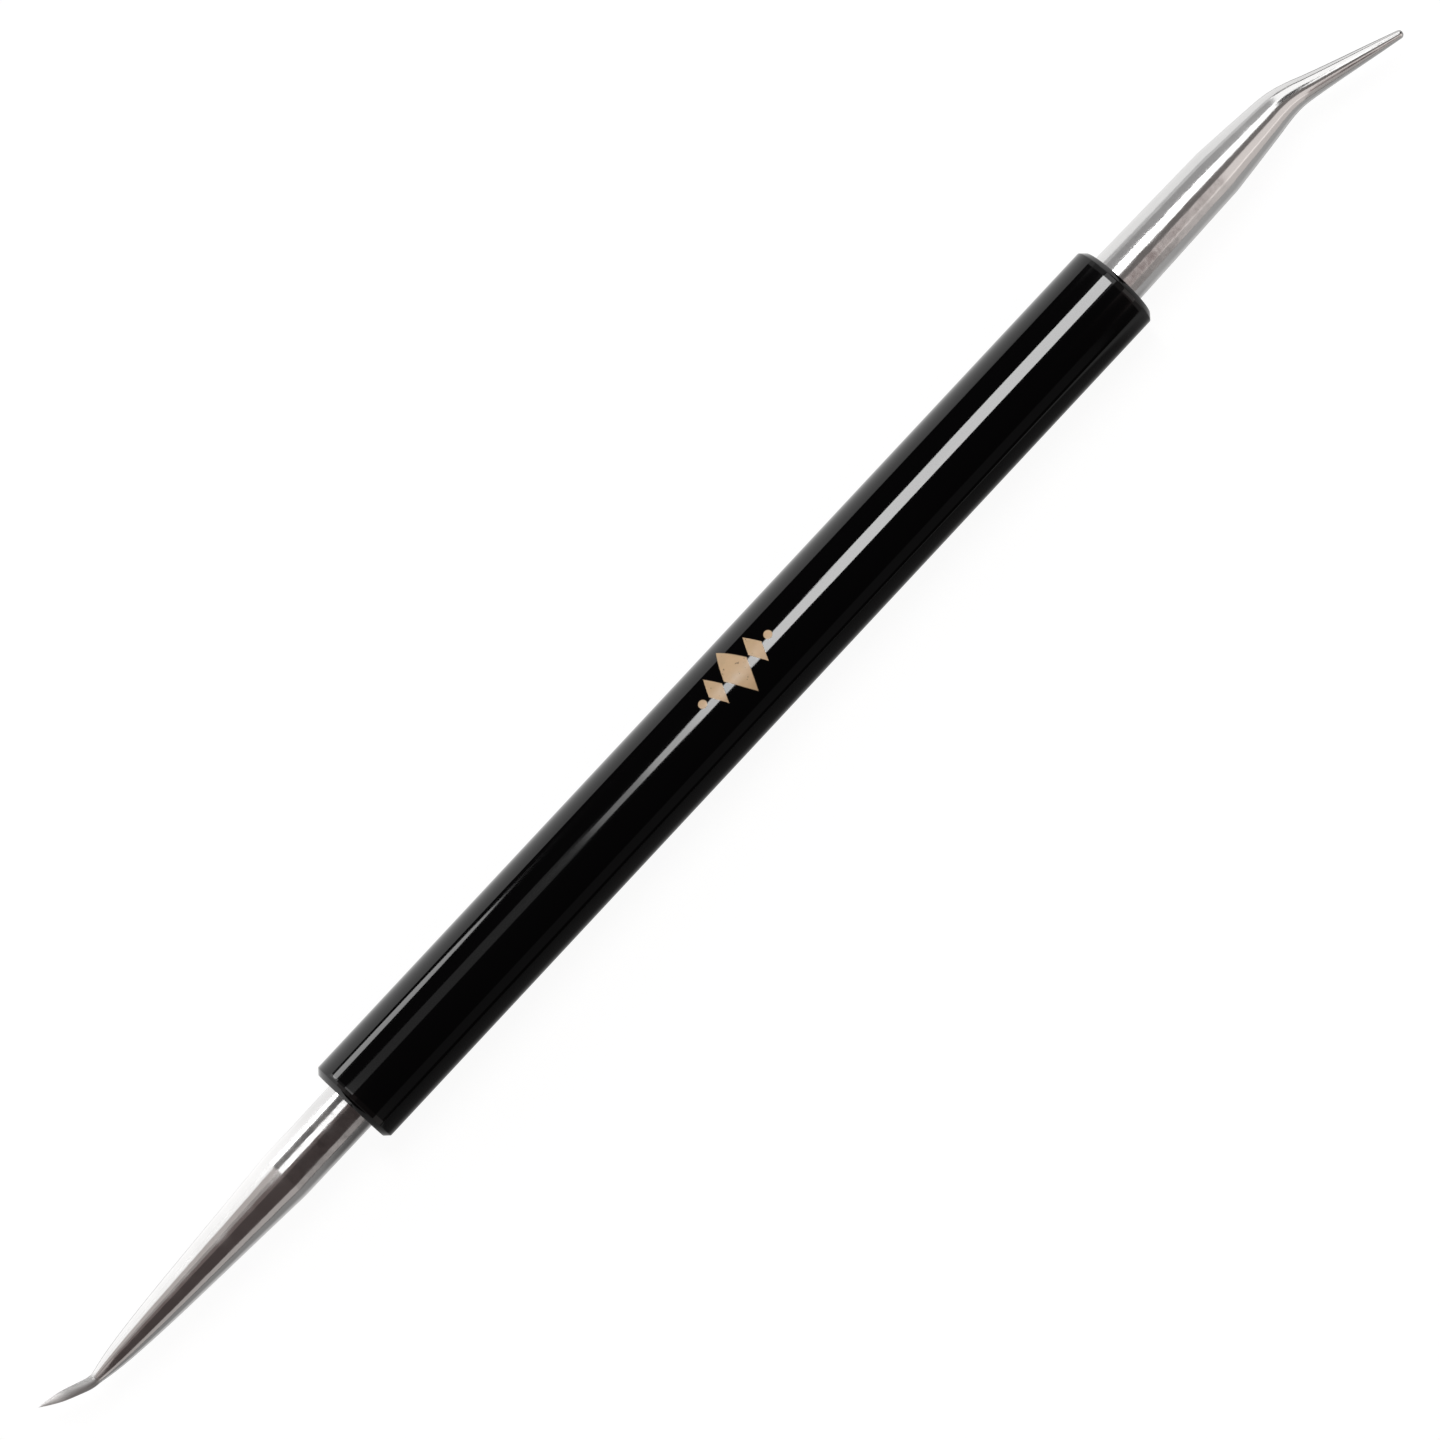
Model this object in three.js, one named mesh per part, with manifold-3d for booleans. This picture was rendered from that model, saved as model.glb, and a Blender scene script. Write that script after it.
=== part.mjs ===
// A double-ended leather modelling tool: a round black handle with a polished steel tip fixed in each end.
// Millimetres, +Z up. The tool lies on its side with both bent tips level, and +X runs along it to the
// curved tip. The origin is on the table, under the middle of the overall length.
//
// Each tip is made as the real one is: a straight rod is turned to its outline, then flattened and bent.
// Its own frame has the handle's end face at x = 0, the bare tip on +X and the hidden shank on -X.

import * as THREE from "three";
import { mergeVertices } from "three/addons/utils/BufferGeometryUtils.js";
import Module from "manifold-3d";

const wasm = await Module();
wasm.setup();

const handleSize = {
  length: 101.8,
  diameter: 9,
  chamfer: 0.5,
  sides: 48,
};

// The joint between a tip and the handle: a blind drilled bore, with the shank glued into it.
const joint = {
  depth: 18, // how far the shank goes in
  glueLine: 0.15, // the adhesive's thickness round the shank
  gluePool: 0.6, // the adhesive's thickness past the end of the shank
  glueSetback: 0.3, // the adhesive stops this far inside the mouth
  clearance: 0.02, // between the adhesive and what it holds
  drillPointAngle: 118, // degrees across the bore's conical bottom
  mouthChamfer: 0.25,
  shankChamfer: 0.5,
  grooves: 3, // turned round the shank, so that the adhesive keys into it
  grooveWidth: 1,
  grooveDepth: 0.25,
  groovePitch: 4.5,
  sides: 28,
};

// A stretch is [its length along the rod, the diameter at its outer end]. The first starts at the handle.
const curvedTip = {
  shankDiameter: 5.5,
  offAxis: 0.28, // its bore is drilled this far to the +Y side of the handle's axis
  stock: [13.7, 5], // nearly parallel, up to a visible edge where the taper starts
  taper: [
    [3.4, 4.37],
    [4.1, 3.54],
    [3.2, 2.54],
    [3.4, 1.9],
    [4.2, 1.28],
    [2.8, 0.82],
  ],
  bend: { start: 20.75, radius: 12.5, degrees: 17 }, // the start is measured from the handle
};

const leafTip = {
  shankDiameter: 5.2,
  stock: [8.7, 5.15],
  taper: [
    [4.3, 4.6],
    [6, 3.88],
    [5.8, 3.15],
    [4, 2.48],
    [2.5, 1.88],
    [2.1, 1.1],
  ],
  leaf: [
    [1.9, 1.06],
    [1.6, 0.92],
    [1.35, 0.46],
    [0.9, 0],
  ],
  leafThickness: 0.34, // as a share of the leaf's width
  flatteningLength: 3, // the neck turns from round to flat over this length
  bend: { beforeNeck: 0.25, radius: 3.6, degrees: 22.2 }, // it starts this far short of the neck
};

const profileSteps = 4; // points on each round stretch between two stations
const bendStep = 0.6; // the rod has a ring at least this often where it bends

const colours = {
  handle: { color: 0x060607, roughness: 0.12, metalness: 0 },
  steel: { color: 0xb8b0ab, roughness: 0.16, metalness: 1 },
  adhesive: { color: 0xb99a5e, roughness: 0.4, metalness: 0 },
};

// A solid turned about the X axis from points (x, radius). It starts and ends on the axis, and its flats,
// which face +Y, -Y, +Z and -Z among others, lie at the true radius.
function turned(points, sides) {
  const flatsToCorners = 1 / Math.cos(Math.PI / sides);
  const profile = points.map(([x, radius]) => new THREE.Vector2(radius * flatsToCorners, x));
  const geometry = new THREE.LatheGeometry(profile, sides, Math.PI / sides);
  geometry.rotateZ(-Math.PI / 2);
  return geometry;
}

// Turns stretches into points (x, radius), with x measured from the handle, after a first such point.
function chain(first, stretches) {
  const points = [first];
  for (const [length, diameter] of stretches) {
    points.push([points.at(-1)[0] + length, diameter / 2]);
  }
  return points;
}

// Points on one smooth curve through points (x, radius).
function smooth(points) {
  const curve = new THREE.SplineCurve(points.map(([x, radius]) => new THREE.Vector2(x, radius)));
  return curve.getPoints(profileSteps * (points.length - 1)).map((point) => [point.x, point.y]);
}

// How far from the handle a point on the straight rod's axis lies once the rod is bent.
function reachOf(x, { start, radius, degrees }) {
  const angle = THREE.MathUtils.degToRad(degrees);
  return start + radius * Math.sin(angle) + (x - start - radius * angle) * Math.cos(angle);
}

// The hidden shank, from its inner end to the handle's face, as points (x, radius).
function shankProfile(shankRadius) {
  const { depth, shankChamfer, grooves, grooveWidth, grooveDepth, groovePitch } = joint;
  const points = [
    [-depth, 0],
    [-depth, shankRadius - shankChamfer],
    [-depth + shankChamfer, shankRadius],
  ];
  const firstGroove = -depth / 2 - ((grooves - 1) / 2) * groovePitch;
  for (let i = 0; i < grooves; i++) {
    const middle = firstGroove + i * groovePitch;
    const start = middle - grooveWidth / 2;
    const end = middle + grooveWidth / 2;
    points.push([start, shankRadius], [start, shankRadius - grooveDepth]);
    points.push([end, shankRadius - grooveDepth], [end, shankRadius]);
  }
  points.push([0, shankRadius]);
  return points;
}

// The adhesive: a cup that fills the bore round the shank, its grooves and its inner end.
function adhesiveGeometry(shankRadius) {
  const { depth, glueLine, gluePool, glueSetback, clearance, sides } = joint;
  const outerRadius = shankRadius + glueLine - clearance;
  const inner = shankProfile(shankRadius)
    .map(([x, radius]) => [x, radius === 0 ? 0 : radius + clearance])
    .map(([x, radius]) => [Math.min(x, -glueSetback), radius]);
  const innerEnd = -depth - clearance;
  inner[0][0] = innerEnd;
  inner[1][0] = innerEnd;
  const outer = [
    [-glueSetback, outerRadius],
    [-depth - gluePool, outerRadius],
    [-depth - gluePool, 0],
  ];
  return turned([...inner, ...outer].reverse(), sides);
}

// What the drill takes out of the handle for one tip, with some air in front of the mouth.
function boreGeometry(shankRadius) {
  const { depth, glueLine, gluePool, clearance, drillPointAngle, mouthChamfer, sides } = joint;
  const radius = shankRadius + glueLine;
  const bottom = -depth - gluePool - clearance;
  const cone = radius / Math.tan(THREE.MathUtils.degToRad(drillPointAngle / 2));
  const air = mouthChamfer;
  return turned(
    [
      [bottom - cone, 0],
      [bottom, radius],
      [-mouthChamfer, radius],
      [air, radius + mouthChamfer + air],
      [air, 0],
    ],
    sides,
  );
}

// Puts extra rings into the long straight stretches of a profile that lie past the start of a bend.
function withBendRings(points, bend) {
  const result = [points[0]];
  for (let i = 1; i < points.length; i++) {
    const [x0, r0] = points[i - 1];
    const [x1, r1] = points[i];
    const steps = x1 > bend.start ? Math.max(1, Math.round((x1 - x0) / bendStep)) : 1;
    for (let k = 1; k <= steps; k++) {
      const share = k / steps;
      result.push([x0 + (x1 - x0) * share, r0 + (r1 - r0) * share]);
    }
  }
  return result;
}

// Bends a straight rod on the X axis to the -Y side, on one arc with a straight stretch after it.
function bendRod(geometry, { start, radius, degrees }) {
  const fullAngle = THREE.MathUtils.degToRad(degrees);
  const position = geometry.getAttribute("position");
  for (let i = 0; i < position.count; i++) {
    const along = position.getX(i) - start;
    if (along <= 0) continue;
    const angle = Math.min(along / radius, fullAngle);
    const straight = along - angle * radius;
    const side = radius + position.getY(i);
    position.setX(i, start + side * Math.sin(angle) + straight * Math.cos(angle));
    position.setY(i, side * Math.cos(angle) - radius - straight * Math.sin(angle));
  }
}

// Squeezes the rod's end between flat dies: full width in Y, a share of it in Z.
function flattenRod(geometry, start, length, share) {
  const position = geometry.getAttribute("position");
  for (let i = 0; i < position.count; i++) {
    const turn = THREE.MathUtils.smoothstep(position.getX(i), start, start + length);
    position.setZ(i, position.getZ(i) * THREE.MathUtils.lerp(1, share, turn));
  }
}

// The curved tip's bare outline: the stock, a smooth taper and a rounded point.
const curvedShoulder = [curvedTip.stock[0], curvedTip.stock[1] / 2];
const curvedTaper = chain(curvedShoulder, curvedTip.taper);
const [pointCentre, pointRadius] = curvedTaper.at(-1);
const curvedReach = reachOf(pointCentre, curvedTip.bend) + pointRadius;

function curvedTipGeometry() {
  const roundPoint = [];
  for (let i = 1; i < profileSteps; i++) {
    const angle = (i / profileSteps) * (Math.PI / 2);
    roundPoint.push([pointCentre + pointRadius * Math.sin(angle), pointRadius * Math.cos(angle)]);
  }
  roundPoint.push([pointCentre + pointRadius, 0]);
  const shank = shankProfile(curvedTip.shankDiameter / 2);
  const geometry = turned([...shank, ...smooth(curvedTaper), ...roundPoint], joint.sides);
  bendRod(geometry, curvedTip.bend);
  return geometry;
}

// The leaf tip's bare outline: the stock, a smooth taper down to the neck, and the pointed leaf.
const leafShoulder = [leafTip.stock[0], leafTip.stock[1] / 2];
const leafTaper = chain(leafShoulder, leafTip.taper);
const leafOutline = chain(leafTaper.at(-1), leafTip.leaf);
const neck = leafOutline[0][0];
const leafBend = { ...leafTip.bend, start: neck - leafTip.bend.beforeNeck };
const leafReach = reachOf(leafOutline.at(-1)[0], leafBend);

function leafTipGeometry() {
  const bare = withBendRings([...smooth(leafTaper), ...smooth(leafOutline).slice(1)], leafBend);
  const geometry = turned([...shankProfile(leafTip.shankDiameter / 2), ...bare], joint.sides);
  flattenRod(geometry, neck, leafTip.flatteningLength, leafTip.leafThickness);
  bendRod(geometry, leafBend);
  return geometry;
}

function solidOf(geometry) {
  const bare = geometry.clone();
  bare.deleteAttribute("normal");
  bare.deleteAttribute("uv");
  const merged = mergeVertices(bare);
  const vertProperties = new Float32Array(merged.getAttribute("position").array);
  const triVerts = new Uint32Array(merged.index.array);
  return new wasm.Manifold(new wasm.Mesh({ numProp: 3, vertProperties, triVerts }));
}

function geometryOf(solid) {
  const mesh = solid.getMesh();
  const geometry = new THREE.BufferGeometry();
  geometry.setAttribute("position", new THREE.BufferAttribute(mesh.vertProperties, 3));
  geometry.setIndex(new THREE.BufferAttribute(mesh.triVerts, 1));
  geometry.computeVertexNormals();
  return geometry;
}

// The handle lies on the X axis with its middle at x = 0.
function handleGeometry() {
  const { length, diameter, chamfer, sides } = handleSize;
  const end = length / 2;
  const radius = diameter / 2;
  const rod = turned(
    [
      [-end, 0],
      [-end, radius - chamfer],
      [-end + chamfer, radius],
      [end - chamfer, radius],
      [end, radius - chamfer],
      [end, 0],
    ],
    sides,
  );
  const curvedBore = boreGeometry(curvedTip.shankDiameter / 2).translate(end, curvedTip.offAxis, 0);
  const leafBore = boreGeometry(leafTip.shankDiameter / 2).rotateZ(Math.PI).translate(-end, 0, 0);
  return geometryOf(solidOf(rod).subtract(solidOf(curvedBore)).subtract(solidOf(leafBore)));
}

function piece(name, geometry, colour) {
  const mesh = new THREE.Mesh(geometry, new THREE.MeshStandardMaterial(colour));
  mesh.name = name;
  return mesh;
}

const curvedEnd = new THREE.Group();
curvedEnd.position.set(handleSize.length / 2, curvedTip.offAxis, 0);
curvedEnd.add(
  piece("curved_stylus_tip", curvedTipGeometry(), colours.steel),
  piece("curved_tip_adhesive", adhesiveGeometry(curvedTip.shankDiameter / 2), colours.adhesive),
);

const leafEnd = new THREE.Group();
leafEnd.position.set(-handleSize.length / 2, 0, 0);
leafEnd.rotation.z = Math.PI;
leafEnd.add(
  piece("leaf_blade_tip", leafTipGeometry(), colours.steel),
  piece("leaf_tip_adhesive", adhesiveGeometry(leafTip.shankDiameter / 2), colours.adhesive),
);

// The handle's axis lies half its diameter above the table, and the overall length is centred.
const tool = new THREE.Group();
tool.add(piece("handle", handleGeometry(), colours.handle), curvedEnd, leafEnd);
tool.position.set((leafReach - curvedReach) / 2, 0, handleSize.diameter / 2);

const part = new THREE.Group();
part.add(tool);

export default part;
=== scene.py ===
"""Dresses a double-ended leather modelling tool: a gloss black handle with a steel tip in each end.

The frame's bodies give every place. The handle lies along X with its axis half its diameter above the
floor, the curved stylus tip is at its +X end and the leaf blade tip at its -X end, and both bend level.
"""

import math

import bmesh
import bpy
from bpy.props import FloatProperty, FloatVectorProperty, IntProperty, PointerProperty
from mathutils import Matrix, Vector


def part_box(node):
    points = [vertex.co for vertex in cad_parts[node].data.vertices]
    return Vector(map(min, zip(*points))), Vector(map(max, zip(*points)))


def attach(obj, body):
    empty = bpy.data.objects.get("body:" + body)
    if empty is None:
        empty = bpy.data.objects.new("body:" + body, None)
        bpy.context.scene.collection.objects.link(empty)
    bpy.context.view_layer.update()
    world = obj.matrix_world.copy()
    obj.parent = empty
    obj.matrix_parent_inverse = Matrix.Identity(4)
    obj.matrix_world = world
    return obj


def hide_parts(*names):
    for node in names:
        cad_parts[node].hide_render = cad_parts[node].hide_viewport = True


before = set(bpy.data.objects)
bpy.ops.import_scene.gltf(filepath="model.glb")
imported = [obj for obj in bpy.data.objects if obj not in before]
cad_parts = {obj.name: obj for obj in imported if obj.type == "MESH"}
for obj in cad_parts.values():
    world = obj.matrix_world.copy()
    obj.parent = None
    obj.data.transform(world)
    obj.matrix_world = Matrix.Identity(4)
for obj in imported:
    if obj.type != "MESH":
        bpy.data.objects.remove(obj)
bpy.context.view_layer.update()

bl_info = {
    "name": "Leather Modelling Tool",
    "version": (1, 0, 0),
    "blender": (4, 5, 0),
    "location": "View3D > Sidebar > Leather Tool",
    "description": "Builds the handle, tips and stage of a double-ended leather modelling tool",
    "category": "Add Mesh",
}

MM = 0.001
HANDLE_LOW, HANDLE_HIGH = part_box("handle")
CURVED_LOW, CURVED_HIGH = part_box("curved_stylus_tip")
LEAF_LOW, LEAF_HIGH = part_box("leaf_blade_tip")
HANDLE_RADIUS = (HANDLE_HIGH.z - HANDLE_LOW.z) / 2
AXIS_HEIGHT = (HANDLE_HIGH.z + HANDLE_LOW.z) / 2
HANDLE_MIDDLE = (HANDLE_HIGH.x + HANDLE_LOW.x) / 2
WELD = 0.5e-6  # metres between points that are one

# A stretch of a tip is (its length along the rod, the diameter at its outer end), in millimetres.
# The first starts at the handle's end face.
CURVED_STOCK = (13.7, 5.0)
CURVED_TAPER = ((3.4, 4.37), (4.1, 3.54), (3.2, 2.54), (3.4, 1.9), (4.2, 1.28), (2.8, 0.82))
LEAF_STOCK = (8.7, 5.15)
LEAF_TAPER = ((4.3, 4.6), (6.0, 3.88), (5.8, 3.15), (4.0, 2.48), (2.5, 1.88), (2.1, 1.1))
LEAF_BLADE = ((1.9, 1.06), (1.6, 0.92), (1.35, 0.46), (0.9, 0.0))
SMOOTH_STEPS = 10  # points between two stations of an outline
POINT_STEPS = 10  # points round the curved tip's rounded end

# The points on the straight stretch between a handle face and a taper: how many steps it has, the share
# of it at the first point, and for each tip the share at the last one.
STOCK_STEPS = 6
STOCK_START = 0.02
CURVED_STOCK_END = 0.94
LEAF_STOCK_END = 0.985
HANDLE_BANDS = 12  # bands of faces along the handle

# The brushed leaf: the length over which its finish fades in, and the stretch over which painted
# shade darkens its colour towards the neck, as shares of its length from its point.
BRUSHED_FADE = 0.8 * MM
PAINTED_SHADE_FROM = 0.25
PAINTED_SHADE_TO = 0.5
PAINTED_SHADE_LEVEL = 0.62  # the colour of the leaf's painted shade, as a share of the polished steel's

# The printed ornament, in millimetres out from its middle: lozenges as (place, half length, half
# height), and the dot as (place, radius). All but the middle lozenge are mirrored.
ORNAMENT_LOZENGES = ((0.0, 1.5, 2.9), (2.6, 0.85, 1.7))
ORNAMENT_DOT = (4.3, 0.42)
INK_EDGE = 0.04  # half the softness of their edges


class HandleSettings(bpy.types.PropertyGroup):
    """Sizes and colours of the handle."""

    chamfer: FloatProperty(
        name="End Chamfer",
        description="Width of the chamfer round each end",
        default=0.5 * MM,
        unit="LENGTH",
    )
    edge_rounding: FloatProperty(
        name="Edge Rounding",
        description="How far each chamfer's edges are polished round",
        default=0.05 * MM,
        unit="LENGTH",
    )
    segments: IntProperty(
        name="Segments",
        description="Steps round the handle",
        default=160,
        min=32,
    )
    lacquer: FloatVectorProperty(
        name="Lacquer",
        description="Colour of the black lacquer",
        default=(0.0018, 0.0018, 0.002),
        subtype="COLOR",
    )
    print_offset: FloatProperty(
        name="Print Offset",
        description="How far along the handle from its middle the ornament is printed",
        default=1.2 * MM,
        unit="LENGTH",
    )
    print_turn: FloatProperty(
        name="Print Turn",
        description="How far round the handle from its top the ornament is printed",
        default=math.radians(19),
        subtype="ANGLE",
    )
    print_gold: FloatVectorProperty(
        name="Print Gold",
        description="Colour of the small printed ornament",
        default=(0.62, 0.43, 0.25),
        subtype="COLOR",
    )


class TipSettings(bpy.types.PropertyGroup):
    """Sizes and colours of the two steel tips."""

    curved_shank: FloatProperty(
        name="Curved Tip Shank",
        description="Diameter of the curved tip where it enters the handle",
        default=5.5 * MM,
        unit="LENGTH",
    )
    curved_bend_start: FloatProperty(
        name="Curved Tip Bend Start",
        description="Distance from the handle to the bend of the curved tip",
        default=20.75 * MM,
        unit="LENGTH",
    )
    curved_bend_radius: FloatProperty(
        name="Curved Tip Bend Radius",
        description="Radius of the curved tip's bend on its axis",
        default=12.5 * MM,
        unit="LENGTH",
    )
    curved_bend_angle: FloatProperty(
        name="Curved Tip Bend Angle",
        description="How far the curved tip turns off the handle's line",
        default=math.radians(17),
        subtype="ANGLE",
    )
    leaf_shank: FloatProperty(
        name="Leaf Tip Shank",
        description="Diameter of the leaf tip where it enters the handle",
        default=5.2 * MM,
        unit="LENGTH",
    )
    leaf_bend_lead: FloatProperty(
        name="Leaf Tip Bend Lead",
        description="How far short of the neck the leaf tip's bend starts",
        default=0.25 * MM,
        unit="LENGTH",
    )
    leaf_bend_radius: FloatProperty(
        name="Leaf Tip Bend Radius",
        description="Radius of the leaf tip's bend on its axis",
        default=3.6 * MM,
        unit="LENGTH",
    )
    leaf_bend_angle: FloatProperty(
        name="Leaf Tip Bend Angle",
        description="How far the leaf turns off the handle's line",
        default=math.radians(22.2),
        subtype="ANGLE",
    )
    leaf_thickness: FloatProperty(
        name="Leaf Thickness",
        description="Thickness of the leaf as a share of its width",
        default=0.34,
        subtype="FACTOR",
        min=0.1,
        max=1.0,
    )
    leaf_length: FloatProperty(
        name="Leaf Length",
        description="Length of the brushed leaf from its point",
        default=5.8 * MM,
        unit="LENGTH",
    )
    leaf_flattening: FloatProperty(
        name="Leaf Flattening",
        description="Length over which the neck turns from round to flat",
        default=3.0 * MM,
        unit="LENGTH",
    )
    segments: IntProperty(
        name="Segments",
        description="Steps round each tip",
        default=96,
        min=24,
    )
    steel: FloatVectorProperty(
        name="Steel",
        description="Colour of the polished steel",
        default=(0.74, 0.735, 0.73),
        subtype="COLOR",
    )


class JointSettings(bpy.types.PropertyGroup):
    """Sizes of the hidden joint between a tip and the handle, and the adhesive's colour."""

    depth: FloatProperty(
        name="Shank Depth",
        description="How far a shank goes into the handle",
        default=18.0 * MM,
        unit="LENGTH",
    )
    glue_line: FloatProperty(
        name="Glue Line",
        description="Thickness of the adhesive round a shank",
        default=0.15 * MM,
        unit="LENGTH",
    )
    glue_pool: FloatProperty(
        name="Glue Pool",
        description="Thickness of the adhesive past the end of a shank",
        default=0.62 * MM,
        unit="LENGTH",
    )
    drill_point: FloatProperty(
        name="Drill Point",
        description="Angle across the conical bottom of a bore",
        default=math.radians(118),
        subtype="ANGLE",
    )
    mouth_chamfer: FloatProperty(
        name="Mouth Chamfer",
        description="Width of the chamfer round a bore's mouth",
        default=0.25 * MM,
        unit="LENGTH",
    )
    shank_chamfer: FloatProperty(
        name="Shank Chamfer",
        description="Width of the chamfer on a shank's inner end",
        default=0.5 * MM,
        unit="LENGTH",
    )
    grooves: IntProperty(
        name="Grooves",
        description="Grooves turned round a shank for the adhesive to key into",
        default=3,
        min=1,
    )
    groove_width: FloatProperty(
        name="Groove Width",
        description="Width of a groove along the shank",
        default=1.0 * MM,
        unit="LENGTH",
    )
    groove_depth: FloatProperty(
        name="Groove Depth",
        description="Depth of a groove",
        default=0.25 * MM,
        unit="LENGTH",
    )
    groove_pitch: FloatProperty(
        name="Groove Pitch",
        description="Distance from one groove to the next",
        default=4.5 * MM,
        unit="LENGTH",
    )
    adhesive: FloatVectorProperty(
        name="Adhesive",
        description="Colour of the cured adhesive",
        default=(0.16, 0.1, 0.04),
        subtype="COLOR",
    )


class StageSettings(bpy.types.PropertyGroup):
    """The camera, the lamps and the floor."""

    lens: FloatProperty(
        name="Lens",
        description="Focal length of the camera, in millimetres",
        default=180.0,
    )
    picture_side: FloatProperty(
        name="Picture Side",
        description="How much of the tool's own plane the square picture shows",
        default=130.1 * MM,
        unit="LENGTH",
    )
    camera_lean: FloatProperty(
        name="Camera Lean",
        description="How far the camera leans from straight above towards the leaf tip",
        default=math.radians(3.5),
        subtype="ANGLE",
    )
    camera_roll: FloatProperty(
        name="Camera Roll",
        description="Angle of the tool above the picture's horizontal",
        default=math.radians(46.99),
        subtype="ANGLE",
    )
    aim: FloatVectorProperty(
        name="Aim",
        description="Point in the tool's plane at the middle of the picture",
        default=(-0.77 * MM, -0.64 * MM),
        size=2,
        subtype="XYZ",
        unit="LENGTH",
    )
    floor_side: FloatProperty(
        name="Floor Side",
        description="Side of the square floor",
        default=8.0,
        unit="LENGTH",
    )
    floor_colour: FloatVectorProperty(
        name="Floor Colour",
        description="Colour of the pale floor",
        default=(0.12, 0.12, 0.12),
        subtype="COLOR",
    )
    floor_glow: FloatProperty(
        name="Floor Glow",
        description="Light that the floor adds of its own where it is seen",
        default=0.93,
    )
    # Painted light and shade: the floor's glow in reflections is brighter on the lamps' side than on
    # the other, with its own level at the leaf tip, the handle and the curved tip.
    lit_side_painted_gleam: FloatVectorProperty(
        name="Near Gleam",
        description="The same glow in reflections on the lamps' side, at the leaf tip, the handle "
        "and the curved tip",
        default=(1.2, 1.0, 0.9),
    )
    shade_side_painted_gleam: FloatVectorProperty(
        name="Far Gleam",
        description="The same glow in reflections on the other side, at the same three places",
        default=(0.2, 0.02, 0.32),
    )
    room: FloatVectorProperty(
        name="Room",
        description="Colour of the dark room above the panels",
        default=(0.012, 0.009, 0.009),
        subtype="COLOR",
    )


WHITE = (1.0, 1.0, 1.0)
WARM = (1.0, 0.93, 0.9)
BROWN = (1.0, 0.8, 0.77)

# The lamps that the handle and the steel mirror. For each: its edges round the tool in degrees from
# straight up towards +Y, its ends along X in metres and its brightness, and then its colour, shape and
# distance where they aren't white, a rectangle and a metre.
PANELS = {
    "key": ((11, 37), (0.14, 0.21), 15.0),
    "key_taper_1": ((11, 36), (0.1, 0.14), 15.0),
    "key_taper_2": ((12, 34), (0.075, 0.1), 15.0),
    "key_taper_3": ((14, 32), (0.055, 0.075), 13.0),
    "key_taper_4": ((16, 30), (0.04, 0.055), 9.0),
    "key_taper_5": ((17, 29), (0.022, 0.04), 3.5),
    "key_spill": ((14, 35), (-0.065, 0.022), 0.4),
    "handle_shade": ((-82, -58), (-0.065, 0.185), 0.08),
    "handle_end_side": ((69, 83), (-0.11, -0.005), 6.0, WHITE, "ELLIPSE"),
    "leaf_glint": ((14, 38), (-0.118, -0.064), 2.0),
    "leaf_glint_gap": ((38, 64), (-0.13, -0.064), 0.2),
    "leaf_glint_side": ((64, 90), (-0.13, -0.064), 1.8),
    "leaf_dark": ((-60, 0), (-2.2, -0.064), 0.06, BROWN),
    "leaf_dim": ((0, 18), (-2.2, -0.064), 0.16, BROWN),
    "leaf_mid": ((18, 32), (-2.2, -0.13), 0.34, WARM),
    "leaf_high": ((32, 58), (-2.2, -0.13), 0.55, WARM),
    "leaf_side": ((58, 90), (-2.2, -0.13), 1.2),
    "leaf_low": ((-88, -60), (-0.6, -0.064), 0.46, WARM),
    "leaf_end": ((-90, 16), (-2.2, -0.6), 0.35, WARM),
    "curve_key": ((6, 36), (0.2, 0.6), 1.6),
    "curve_gap": ((38, 74), (0.2, 0.6), 0.4),
    "curve_side": ((74, 90), (0.2, 0.6), 0.65),
    "curve_dark": ((-20, 6), (0.2, 1.6), 0.18, WARM),
    "curve_mid_near": ((-58, -20), (0.2, 0.255), 0.28, BROWN),
    "curve_mid": ((-58, -20), (0.255, 1.6), 0.85, WARM),
    "curve_low": ((-90, -58), (0.2, 1.6), 0.3, WARM),
    "bend_key": ((28, 80), (0.6, 1.6), 1.3),
    "bend_shade": ((-88, -52), (0.0775, 0.25), 0.36, WARM, "RECTANGLE", 0.1),
}

# The floor's painted gleam, the glow that reflections show, in millimetres: where along X it changes
# from the leaf tip's to the handle's and from the handle's to the curved tip's, where along Y it
# changes from the far side's painted shade to the near side's painted light, and how far from the
# tool's line the painted shadow under the tool fades out.
GLEAM_STEPS = ((-58.0, -50.0), (50.0, 58.0))
PAINTED_GLEAM_SIDES = (-12.0, 4.0)
PAINTED_TOOL_SHADOW = (2.6, 4.4)
PAINTED_SHADOW_LEVEL = 0.2  # how much of the gleam is left in that painted shadow


# Outlines

def chain(first, stretches):
    """Points (x, radius) in metres after a first such point, from stretches in millimetres."""
    points = [first]
    for length, diameter in stretches:
        points.append((points[-1][0] + length * MM, diameter / 2 * MM))
    return points


def smooth(points):
    """Points on one smooth curve through points (x, radius)."""
    ends = [points[0]] + list(points) + [points[-1]]
    result = []
    for before, start, end, after in zip(ends, ends[1:], ends[2:], ends[3:]):
        for step in range(SMOOTH_STEPS):
            t = step / SMOOTH_STEPS
            result.append(tuple(
                b + (c - a) / 2 * t
                + (2 * a - 5 * b + 4 * c - d) / 2 * t**2
                + (3 * b - 3 * c + d - a) / 2 * t**3
                for a, b, c, d in zip(before, start, end, after)
            ))
    return result + [points[-1]]


def even(start, end, last):
    """Points at even steps between two points (x, radius), then one at this last share of the way."""
    shares = [STOCK_START] + [i / STOCK_STEPS for i in range(1, STOCK_STEPS)] + [last]
    return [tuple(a + (b - a) * share for a, b in zip(start, end)) for share in shares]


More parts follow.
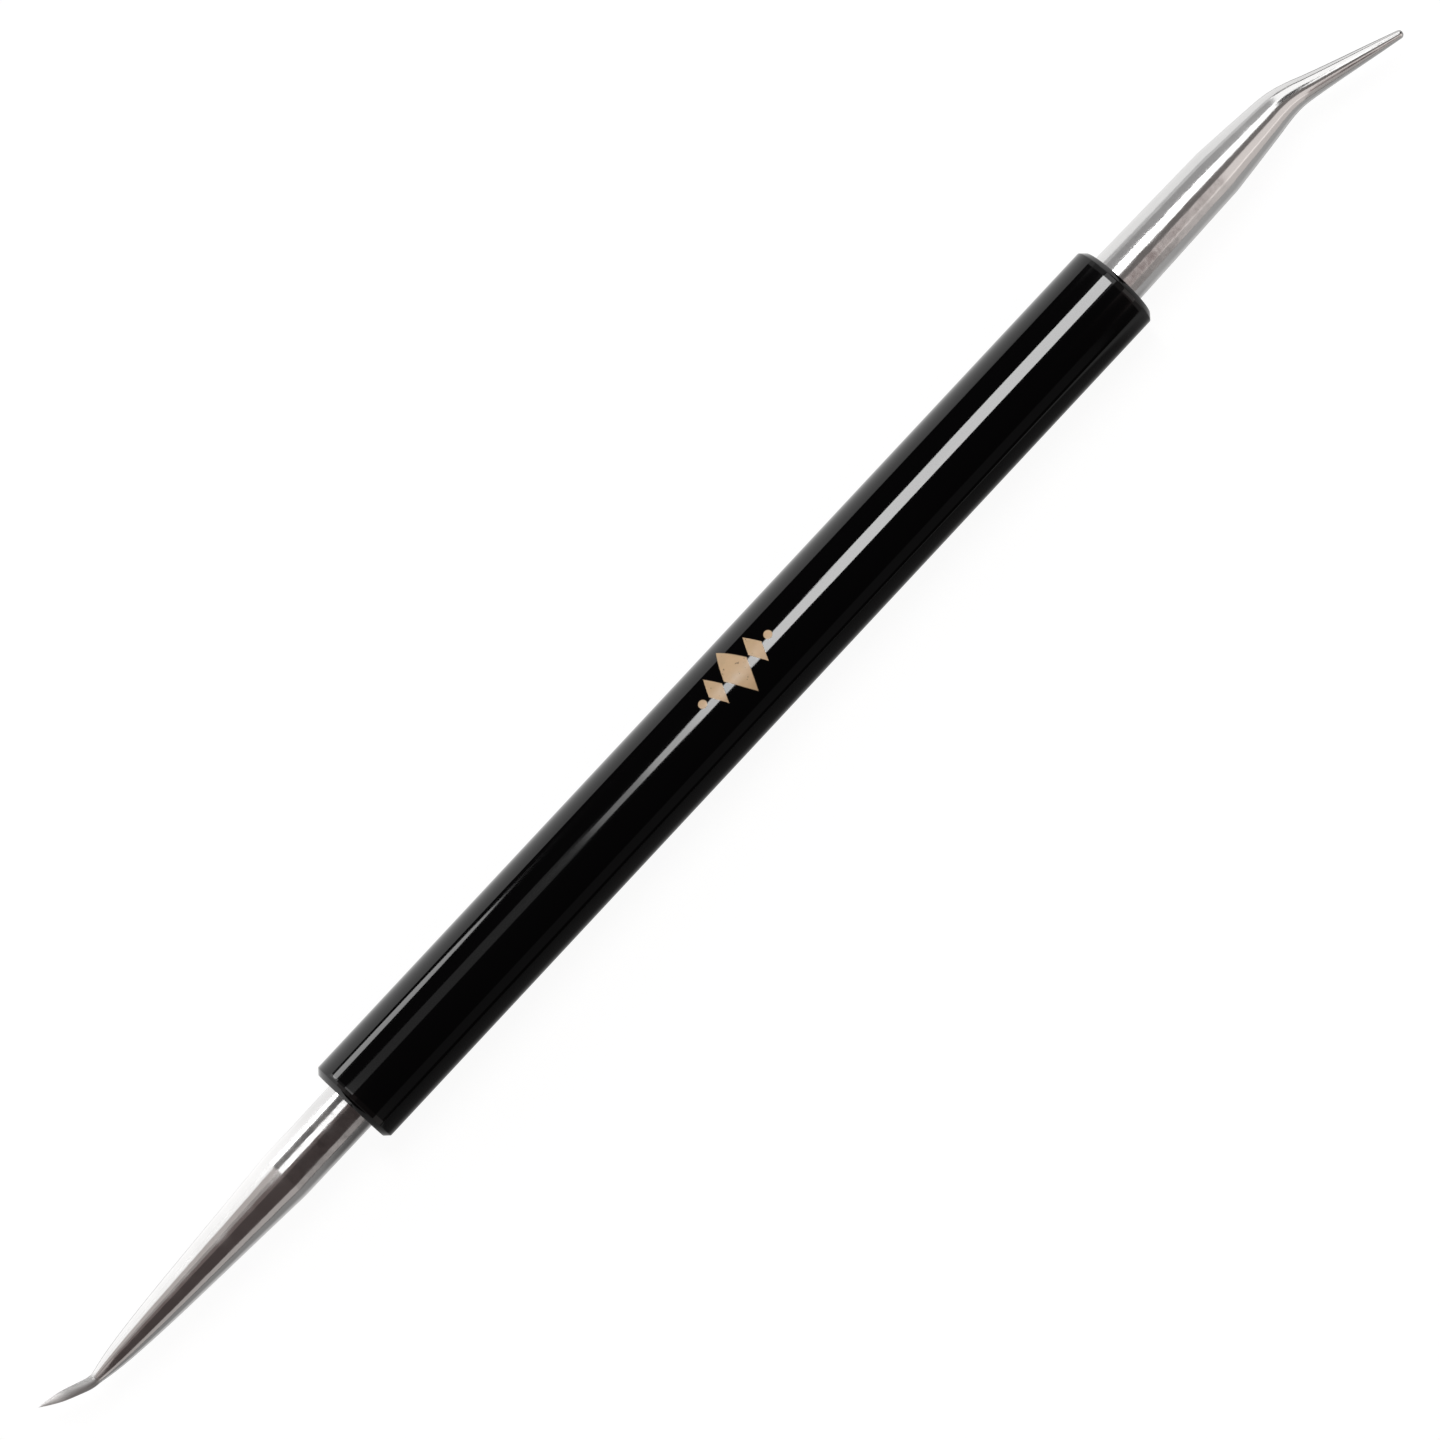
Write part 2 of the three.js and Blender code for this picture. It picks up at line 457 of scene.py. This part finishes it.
def shank_outline(joint, radius):
    """The hidden shank from its inner end to the handle's face, as points (x, radius)."""
    points = [
        (-joint.depth, 0.0),
        (-joint.depth, radius - joint.shank_chamfer),
        (-joint.depth + joint.shank_chamfer, radius),
    ]
    first = -joint.depth / 2 - (joint.grooves - 1) / 2 * joint.groove_pitch
    for i in range(joint.grooves):
        start = first + i * joint.groove_pitch - joint.groove_width / 2
        end = start + joint.groove_width
        points += [(start, radius), (start, radius - joint.groove_depth)]
        points += [(end, radius - joint.groove_depth), (end, radius)]
    return points + [(0.0, radius)]


def bore_outline(joint, shank_radius):
    """A blind bore from its mouth chamfer's outer edge to the point of its conical bottom."""
    radius = shank_radius + joint.glue_line
    bottom = -joint.depth - joint.glue_pool
    cone = radius / math.tan(joint.drill_point / 2)
    return [
        (0.0, radius + joint.mouth_chamfer),
        (-joint.mouth_chamfer, radius),
        (bottom, radius),
        (bottom - cone, 0.0),
    ]


# Meshes

def spin(bm, outline, segments):
    """Spins an outline of points (x, radius) round the X axis, and returns what it made."""
    verts = [bm.verts.new((x, 0.0, radius)) for x, radius in outline]
    edges = [bm.edges.new(pair) for pair in zip(verts, verts[1:])]
    before = set(bm.verts)
    bmesh.ops.spin(
        bm,
        geom=verts + edges,
        cent=(0, 0, 0),
        axis=(1, 0, 0),
        angle=math.tau,
        steps=segments,
        use_merge=True,
    )
    made = verts + [v for v in bm.verts if v not in before]
    return [v for v in made if v.is_valid]


def ring_at(verts, x, radius):
    """The edges of the ring of points that lie at this place on a spun surface."""
    ring = {
        v for v in verts
        if v.is_valid
        and abs(v.co.x - x) < WELD
        and abs(math.hypot(v.co.y, v.co.z) - radius) < WELD
    }
    return list({e for v in ring for e in v.link_edges if e.other_vert(v) in ring})


def bend(verts, start, radius, angle):
    """Bends a rod that lies on the X axis to its -Y side: one arc, then a straight stretch."""
    for v in verts:
        along = v.co.x - start
        if along <= 0:
            continue
        turn = min(along / radius, angle)
        straight = along - turn * radius
        side = radius + v.co.y
        v.co.x = start + side * math.sin(turn) + straight * math.cos(turn)
        v.co.y = side * math.cos(turn) - radius - straight * math.sin(turn)


def flatten(verts, start, length, share):
    """Squeezes a rod's end to a share of its height over a length."""
    for v in verts:
        t = min(max((v.co.x - start) / length, 0.0), 1.0)
        v.co.z *= 1 + (share - 1) * t * t * (3 - 2 * t)


def finished(bm, name, material, sharp_angle=math.radians(28)):
    """Makes the bmesh an object at the origin, closed and smooth between its sharp edges."""
    bmesh.ops.remove_doubles(bm, verts=bm.verts, dist=WELD)
    bmesh.ops.recalc_face_normals(bm, faces=bm.faces)
    for face in bm.faces:
        face.smooth = True
    mesh = bpy.data.meshes.new(name)
    bm.to_mesh(mesh)
    bm.free()
    mesh.set_sharp_from_angle(angle=sharp_angle)
    mesh.materials.append(material)
    piece = bpy.data.objects.new(name, mesh)
    bpy.context.scene.collection.objects.link(piece)
    return piece


# Materials

class Nodes:
    """The node tree of a material, with short calls for its nodes and links."""

    def __init__(self, name):
        self.material = bpy.data.materials.new(name)
        self.material.use_nodes = True
        self.tree = self.material.node_tree
        self.tree.nodes.clear()
        self.output = self.tree.nodes.new("ShaderNodeOutputMaterial")

    def new(self, kind, inputs=None, **settings):
        node = self.tree.nodes.new(kind)
        for key, value in settings.items():
            setattr(node, key, value)
        for key, value in (inputs or {}).items():
            self.feed(node.inputs[key], value)
        return node

    def feed(self, socket, value):
        if isinstance(value, bpy.types.NodeSocket):
            self.tree.links.new(value, socket)
        else:
            socket.default_value = value

    def math(self, operation, *values):
        node = self.new("ShaderNodeMath", operation=operation)
        for socket, value in zip(node.inputs, values):
            self.feed(socket, value)
        return node.outputs[0]

    def fade(self, value, low, high, to_low=0.0, to_high=1.0):
        """The value's smooth step from low to high, as a number from to_low to to_high."""
        node = self.new("ShaderNodeMapRange", interpolation_type="SMOOTHSTEP")
        for socket, number in zip(node.inputs, (value, low, high, to_low, to_high)):
            self.feed(socket, number)
        return node.outputs[0]

    def place(self, scale=(1.0, 1.0, 1.0)):
        """The place on the object, stretched by this scale."""
        coordinates = self.new("ShaderNodeTexCoord").outputs["Object"]
        inputs = {"Vector": coordinates, "Scale": scale}
        return self.new("ShaderNodeMapping", inputs).outputs[0]

    def noise(self, vector, scale, detail=2.0):
        inputs = {"Vector": vector, "Scale": scale, "Detail": detail}
        return self.new("ShaderNodeTexNoise", inputs).outputs["Fac"]

    def mix(self, factor, a, b):
        node = self.new("ShaderNodeMix", data_type="RGBA")
        self.feed(node.inputs["Factor"], factor)
        self.feed(node.inputs["A"], a)
        self.feed(node.inputs["B"], b)
        return node.outputs["Result"]

    def bump(self, height, distance, strength=1.0, normal=None):
        inputs = {"Height": height, "Distance": distance, "Strength": strength}
        node = self.new("ShaderNodeBump", inputs)
        if normal is not None:
            self.feed(node.inputs["Normal"], normal)
        return node.outputs[0]

    def principled(self, **inputs):
        shader = self.new("ShaderNodeBsdfPrincipled")
        for key, value in inputs.items():
            self.feed(shader.inputs[key.replace("_", " ")], value)
        self.tree.links.new(shader.outputs[0], self.output.inputs["Surface"])
        return shader


def rgba(colour, level=1.0):
    return (*(channel * level for channel in colour), 1.0)


def ornament(n, handle):
    """Where the printed ornament is, from 0 to 1: a row of three lozenges with a dot at each end."""
    coordinates = n.new("ShaderNodeTexCoord").outputs["Object"]
    x, y, z = n.new("ShaderNodeSeparateXYZ", {"Vector": coordinates}).outputs
    up = n.math("SUBTRACT", z, AXIS_HEIGHT)
    turn = n.math("SUBTRACT", n.math("ARCTAN2", y, up), handle.print_turn)
    round_it = n.math("MULTIPLY", turn, HANDLE_RADIUS / MM)
    along = n.math("SUBTRACT", x, HANDLE_MIDDLE + handle.print_offset)
    along = n.math("MULTIPLY", n.math("ABSOLUTE", along), 1 / MM)
    across = n.math("ABSOLUTE", round_it)
    result = None
    for centre, half_length, half_height in ORNAMENT_LOZENGES:
        off = n.math("ABSOLUTE", n.math("SUBTRACT", along, centre))
        reach = n.math("ADD", n.math("DIVIDE", off, half_length),
                       n.math("DIVIDE", across, half_height))
        inside = n.fade(reach, 1 - INK_EDGE, 1 + INK_EDGE, 1.0, 0.0)
        result = inside if result is None else n.math("MAXIMUM", result, inside)
    centre, radius = ORNAMENT_DOT
    off = n.math("SUBTRACT", along, centre)
    away = n.math("SQRT", n.math("ADD", n.math("POWER", off, 2.0), n.math("POWER", across, 2.0)))
    dot = n.fade(away, radius - INK_EDGE, radius + INK_EDGE, 1.0, 0.0)
    return n.math("MAXIMUM", result, dot)


def handle_material(handle):
    """Black gloss lacquer with dust nibs in it and a small ornament printed on it in worn gold."""
    n = Nodes("gloss_black_lacquer")
    here = n.place()
    peel = n.noise(here, 900.0, detail=1.0)
    grain = n.noise(here, 5200.0, detail=1.0)
    nibs = n.new("ShaderNodeTexVoronoi", {"Vector": here, "Scale": 420.0}).outputs["Distance"]
    nibs = n.fade(nibs, 0.03, 0.1, 1.0, 0.0)
    cloud = n.noise(here, 140.0, detail=3.0)
    worn = n.fade(n.noise(here, 2600.0, detail=3.0), 0.25, 0.36, 0.35, 1.0)
    ink = n.math("MULTIPLY", ornament(n, handle), worn)
    height = n.math("ADD", peel, n.math("MULTIPLY", grain, 0.2))
    height = n.math("ADD", height, n.math("MULTIPLY", nibs, 1.5))
    height = n.math("ADD", height, n.math("MULTIPLY", ink, 1.2))
    shine = n.fade(cloud, 0.35, 0.7, 0.12, 0.22)
    tint = n.noise(here, 700.0, detail=3.0)
    gold = n.mix(tint, rgba(handle.print_gold, 0.8), rgba(handle.print_gold, 1.15))
    lacquer = n.principled(
        Base_Color=rgba(handle.lacquer),
        Roughness=shine,
        IOR=1.45,
        Specular_IOR_Level=0.0,
        Coat_Weight=1.0,
        Coat_Roughness=0.05,
        Coat_IOR=1.46,
        Normal=n.bump(height, 0.012 * MM, 0.4),
    )
    print_ink = n.principled(
        Base_Color=gold,
        Roughness=n.fade(tint, 0.3, 0.7, 0.34, 0.5),
        Normal=n.bump(height, 0.012 * MM, 0.6),
    )
    both = n.new("ShaderNodeMixShader")
    n.feed(both.inputs[0], ink)
    n.feed(both.inputs[1], lacquer.outputs[0])
    n.feed(both.inputs[2], print_ink.outputs[0])
    n.feed(n.output.inputs["Surface"], both.outputs[0])
    return n.material


def steel_material(tips):
    """Polished steel with faint marks round the rod and a brushed leaf darkened by painted shade
    towards its neck, made once for both tips.
    """
    if "tip_steel" in bpy.data.materials:
        return bpy.data.materials["tip_steel"]
    n = Nodes("tip_steel")
    marks = n.noise(n.place(scale=(1.0, 0.05, 0.05)), 9000.0, detail=3.0)
    waves = n.noise(n.place(scale=(0.6, 1.0, 1.0)), 900.0)
    cloud = n.noise(n.place(), 420.0, detail=3.0)
    along = n.new("ShaderNodeSeparateXYZ", {"Vector": n.place()}).outputs[0]
    point, length = LEAF_LOW.x, tips.leaf_length
    brushed = n.fade(along, point + length - BRUSHED_FADE, point + length, 1.0, 0.0)
    # Painted shade: the leaf's colour darkens from a quarter to half its length from the point, up to
    # its root.
    painted_shade = n.fade(along, point + PAINTED_SHADE_FROM * length, point + PAINTED_SHADE_TO * length)
    painted_shade = n.math("MULTIPLY", brushed, painted_shade)
    clean = n.mix(cloud, rgba(tips.steel, 0.92), rgba(tips.steel, 1.06))
    n.principled(
        Base_Color=n.mix(painted_shade, clean, rgba(tips.steel, PAINTED_SHADE_LEVEL)),
        Metallic=1.0,
        Roughness=n.math("MULTIPLY_ADD", brushed, 0.42, n.fade(cloud, 0.3, 0.75, 0.10, 0.19)),
        Normal=n.bump(marks, 0.004 * MM, 0.12, n.bump(waves, 0.012 * MM)),
    )
    return n.material


def adhesive_material(joint):
    """Cured epoxy, a little cloudy."""
    n = Nodes("clear_epoxy")
    cloud = n.noise(n.place(), 600.0, detail=2.0)
    n.principled(
        Base_Color=n.mix(cloud, rgba(joint.adhesive, 0.8), rgba(joint.adhesive, 1.2)),
        Roughness=n.fade(cloud, 0.3, 0.7, 0.25, 0.45),
        Normal=n.bump(cloud, 0.02 * MM, 0.3),
    )
    return n.material


def floor_material(stage):
    """Paper that glows where it is seen, so that it reads white and keeps the tool's shadow.

    Metal and gloss show a glow too, with painted light and shade in it: it has its own level at each
    tip and at the handle, is brighter on the lamps' side, and is dimmed by a painted shadow along the
    tool.
    """
    n = Nodes("pale_floor")
    grain = n.noise(n.place(), 900.0, detail=2.0)
    paper = n.new("ShaderNodeBsdfDiffuse", {
        "Color": n.mix(grain, rgba(stage.floor_colour, 0.98), rgba(stage.floor_colour, 1.02)),
    })
    coordinates = n.new("ShaderNodeTexCoord").outputs["Object"]
    x, y, z = n.new("ShaderNodeSeparateXYZ", {"Vector": coordinates}).outputs
    near, far = stage.lit_side_painted_gleam[0], stage.shade_side_painted_gleam[0]
    for i, (start, end) in enumerate(GLEAM_STEPS, 1):
        step = n.fade(x, start * MM, end * MM)
        near = n.math("MULTIPLY_ADD", step, stage.lit_side_painted_gleam[i] - stage.lit_side_painted_gleam[i - 1], near)
        far = n.math("MULTIPLY_ADD", step, stage.shade_side_painted_gleam[i] - stage.shade_side_painted_gleam[i - 1], far)
    # Painted light and shade: the reflected glow is brighter on the lamps' side than on the far side.
    start, end = PAINTED_GLEAM_SIDES
    gleam = n.fade(y, start * MM, end * MM, far, near)
    # Painted shadow: the reflected glow is dimmed along the tool's line.
    start, end = PAINTED_TOOL_SHADOW
    shade = n.fade(n.math("ABSOLUTE", y), start * MM, end * MM, PAINTED_SHADOW_LEVEL, 1.0)
    gleam = n.math("MULTIPLY", gleam, shade)
    rays = n.new("ShaderNodeLightPath").outputs
    mirrored = n.math("MAXIMUM", rays["Is Glossy Ray"], rays["Is Transmission Ray"])
    mirrored = n.math("MULTIPLY", mirrored, gleam)
    seen = n.math("MULTIPLY", rays["Is Camera Ray"], stage.floor_glow)
    glow = n.new("ShaderNodeEmission", {"Strength": n.math("MAXIMUM", seen, mirrored)})
    both = n.new("ShaderNodeAddShader")
    n.feed(both.inputs[0], paper.outputs[0])
    n.feed(both.inputs[1], glow.outputs[0])
    n.feed(n.output.inputs["Surface"], both.outputs[0])
    return n.material


# Operators

class BuildHandle(bpy.types.Operator):
    """Build the black handle with its two blind bores"""

    bl_idname = "leather_tool.build_handle"
    bl_label = "Build Handle"

    def execute(self, context):
        settings = context.scene.leather_tool_handle
        joint = context.scene.leather_tool_joint
        tips = context.scene.leather_tool_tips
        radius = HANDLE_RADIUS
        low, high = HANDLE_LOW.x, HANDLE_HIGH.x
        bm = bmesh.new()
        rims = [
            (low, radius - settings.chamfer),
            (low + settings.chamfer, radius),
            (high - settings.chamfer, radius),
            (high, radius - settings.chamfer),
        ]
        start, end = low + settings.chamfer * 2, high - settings.chamfer * 2
        band = (end - start) / HANDLE_BANDS
        rings = [(start + band * i, radius) for i in range(HANDLE_BANDS + 1)]
        rod = spin(bm, rims[:2] + rings + rims[2:], settings.segments)
        ends = (
            (high, 1, tips.curved_shank, CURVED_HIGH.y - tips.curved_shank / 2),
            (low, -1, tips.leaf_shank, LEAF_HIGH.y - tips.leaf_shank / 2),
        )
        for face_x, side, shank, off_axis in ends:
            outline = bore_outline(joint, shank / 2)
            placed = [(face_x + side * x, r) for x, r in outline]
            bore = spin(bm, placed, settings.segments)
            mouth = ring_at(bore, *placed[0])
            rim = ring_at(rod, face_x, radius - settings.chamfer)
            bmesh.ops.translate(bm, verts=bore, vec=(0, off_axis, 0))
            bmesh.ops.bridge_loops(bm, edges=mouth + rim)
        edges = [edge for rim in rims for edge in ring_at(rod, *rim)]
        bmesh.ops.bevel(
            bm,
            geom=edges,
            offset=settings.edge_rounding,
            affect="EDGES",
            segments=3,
            profile=0.5,
            material=-1,
        )
        bmesh.ops.translate(bm, verts=bm.verts, vec=(0, 0, AXIS_HEIGHT))
        piece = finished(bm, "lacquered_handle", handle_material(settings))
        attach(piece, "root")
        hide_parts("handle")
        return {"FINISHED"}


class BuildCurvedTip(bpy.types.Operator):
    """Build the bent, round-pointed steel stylus"""

    bl_idname = "leather_tool.build_curved_tip"
    bl_label = "Build Curved Tip"

    def execute(self, context):
        tips = context.scene.leather_tool_tips
        joint = context.scene.leather_tool_joint
        taper = chain((CURVED_STOCK[0] * MM, CURVED_STOCK[1] / 2 * MM), CURVED_TAPER)
        centre, point_radius = taper[-1]
        rounded = []
        for step in range(1, POINT_STEPS):
            angle = step / POINT_STEPS * math.pi / 2
            rounded.append((
                centre + point_radius * math.sin(angle),
                point_radius * math.cos(angle),
            ))
        rounded.append((centre + point_radius, 0.0))
        shank = shank_outline(joint, tips.curved_shank / 2)
        bm = bmesh.new()
        rod = shank + even(shank[-1], taper[0], CURVED_STOCK_END) + smooth(taper)
        spin(bm, rod + rounded, tips.segments)
        bend(bm.verts, tips.curved_bend_start, tips.curved_bend_radius, tips.curved_bend_angle)
        seat = (HANDLE_HIGH.x, CURVED_HIGH.y - tips.curved_shank / 2, AXIS_HEIGHT)
        bmesh.ops.translate(bm, verts=bm.verts, vec=seat)
        piece = finished(bm, "curved_stylus", steel_material(tips))
        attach(piece, "root")
        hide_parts("curved_stylus_tip")
        return {"FINISHED"}


class BuildLeafTip(bpy.types.Operator):
    """Build the steel tip that ends in a small bent leaf"""

    bl_idname = "leather_tool.build_leaf_tip"
    bl_label = "Build Leaf Tip"

    def execute(self, context):
        tips = context.scene.leather_tool_tips
        joint = context.scene.leather_tool_joint
        taper = chain((LEAF_STOCK[0] * MM, LEAF_STOCK[1] / 2 * MM), LEAF_TAPER)
        blade = chain(taper[-1], LEAF_BLADE)
        neck = blade[0][0]
        shank = shank_outline(joint, tips.leaf_shank / 2)
        bm = bmesh.new()
        rod = shank + even(shank[-1], taper[0], LEAF_STOCK_END) + smooth(taper)
        spin(bm, rod + smooth(blade)[1:], tips.segments)
        flatten(bm.verts, neck, tips.leaf_flattening, tips.leaf_thickness)
        bend(bm.verts, neck - tips.leaf_bend_lead, tips.leaf_bend_radius, tips.leaf_bend_angle)
        bmesh.ops.rotate(bm, verts=bm.verts, matrix=Matrix.Rotation(math.pi, 3, "Z"))
        seat = (HANDLE_LOW.x, LEAF_HIGH.y - tips.leaf_shank / 2, AXIS_HEIGHT)
        bmesh.ops.translate(bm, verts=bm.verts, vec=seat)
        piece = finished(bm, "leaf_blade", steel_material(tips))
        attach(piece, "root")
        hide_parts("leaf_blade_tip")
        return {"FINISHED"}


class DressAdhesive(bpy.types.Operator):
    """Give the cured adhesive in both bores its material"""

    bl_idname = "leather_tool.dress_adhesive"
    bl_label = "Dress Adhesive"

    def execute(self, context):
        material = adhesive_material(context.scene.leather_tool_joint)
        for node in ("curved_tip_adhesive", "leaf_tip_adhesive"):
            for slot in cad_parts[node].material_slots:
                slot.material = material
        return {"FINISHED"}


def panel(name, angles, reach, radiance, colour=WHITE, shape="RECTANGLE", distance=1.0):
    """A lamp that faces the tool's axis from this distance and whose surface has this brightness.

    Its edges are two angles from straight up towards +Y, in degrees, and two places along X in metres.
    """
    low, high = (math.radians(angle) for angle in angles)
    size = (reach[1] - reach[0], 2 * distance * math.tan((high - low) / 2))
    area = size[0] * size[1]
    if shape == "ELLIPSE":
        area *= math.pi / 4
    data = bpy.data.lights.new(name, "AREA")
    data.shape = shape
    data.size, data.size_y = size
    data.energy = radiance * math.pi * area
    data.color = colour
    middle = (low + high) / 2
    away = Vector((0.0, math.sin(middle), math.cos(middle)))
    right = Vector((1.0, 0.0, 0.0))
    seat = away * distance + Vector(((reach[0] + reach[1]) / 2, 0.0, AXIS_HEIGHT))
    turn = Matrix((right, away.cross(right), away)).transposed().to_4x4()
    lamp = bpy.data.objects.new(name, data)
    lamp.matrix_world = Matrix.Translation(seat) @ turn
    lamp.visible_camera = False
    bpy.context.scene.collection.objects.link(lamp)


class BuildStage(bpy.types.Operator):
    """Build the pale floor, the lamps, the room and the camera"""

    bl_idname = "leather_tool.build_stage"
    bl_label = "Build Stage"

    def execute(self, context):
        stage = context.scene.leather_tool_stage
        bm = bmesh.new()
        bmesh.ops.create_grid(bm, x_segments=1, y_segments=1, size=stage.floor_side / 2)
        floor = finished(bm, "floor", floor_material(stage))
        for name, settings in PANELS.items():
            panel(name, *settings)
        self.add_world(stage)
        self.add_camera(stage)
        context.scene.view_settings.view_transform = "Standard"
        return {"FINISHED"}

    def add_world(self, stage):
        """A dark room that is white where the camera sees it."""
        world = bpy.data.worlds.new("room")
        world.use_nodes = True
        tree = world.node_tree
        background = tree.nodes["Background"]
        rays = tree.nodes.new("ShaderNodeLightPath")
        walls = tree.nodes.new("ShaderNodeMix")
        walls.data_type = "RGBA"
        walls.inputs["A"].default_value = rgba(stage.room)
        walls.inputs["B"].default_value = rgba(WHITE)
        tree.links.new(rays.outputs["Is Camera Ray"], walls.inputs["Factor"])
        tree.links.new(walls.outputs["Result"], background.inputs["Color"])
        bpy.context.scene.world = world

    def add_camera(self, stage):
        """A camera at the viewing angle, aimed at a point in the tool's own plane."""
        data = bpy.data.cameras.new("camera")
        data.lens = stage.lens
        data.clip_end = 20.0
        half_angle = math.atan(data.sensor_width / 2 / data.lens)
        distance = stage.picture_side / 2 / math.tan(half_angle)
        lean, roll = stage.camera_lean, stage.camera_roll
        back = Vector((-math.sin(lean), 0.0, math.cos(lean)))
        along = Vector((math.cos(lean), 0.0, math.sin(lean)))
        across = Vector((0.0, 1.0, 0.0))
        right = math.cos(roll) * along - math.sin(roll) * across
        up = math.sin(roll) * along + math.cos(roll) * across
        camera = bpy.data.objects.new("camera", data)
        turn = Matrix((right, up, back)).transposed().to_4x4()
        aim = Vector((stage.aim[0], stage.aim[1], AXIS_HEIGHT))
        camera.matrix_world = Matrix.Translation(aim + back * distance) @ turn
        bpy.context.scene.collection.objects.link(camera)
        bpy.context.scene.camera = camera


class ToolPanel(bpy.types.Panel):
    """Lists the tool's pieces and their settings"""

    bl_idname = "VIEW3D_PT_leather_tool"
    bl_label = "Leather Tool"
    bl_space_type = "VIEW_3D"
    bl_region_type = "UI"
    bl_category = "Leather Tool"

    def draw(self, context):
        for operator in OPERATORS:
            self.layout.operator(operator.bl_idname)
        for name, settings in SETTINGS.items():
            box = self.layout.box()
            for key in settings.__annotations__:
                box.prop(getattr(context.scene, name), key)


SETTINGS = {
    "leather_tool_handle": HandleSettings,
    "leather_tool_tips": TipSettings,
    "leather_tool_joint": JointSettings,
    "leather_tool_stage": StageSettings,
}
OPERATORS = (BuildHandle, BuildCurvedTip, BuildLeafTip, DressAdhesive, BuildStage)
CLASSES = (*SETTINGS.values(), *OPERATORS, ToolPanel)


def register():
    for cls in CLASSES:
        bpy.utils.register_class(cls)
    for name, settings in SETTINGS.items():
        setattr(bpy.types.Scene, name, PointerProperty(type=settings))


def unregister():
    for name in SETTINGS:
        delattr(bpy.types.Scene, name)
    for cls in reversed(CLASSES):
        bpy.utils.unregister_class(cls)


def main():
    register()
    bpy.ops.leather_tool.build_handle()
    bpy.ops.leather_tool.build_curved_tip()
    bpy.ops.leather_tool.build_leaf_tip()
    bpy.ops.leather_tool.dress_adhesive()
    bpy.ops.leather_tool.build_stage()


if __name__ == "__main__":
    main()
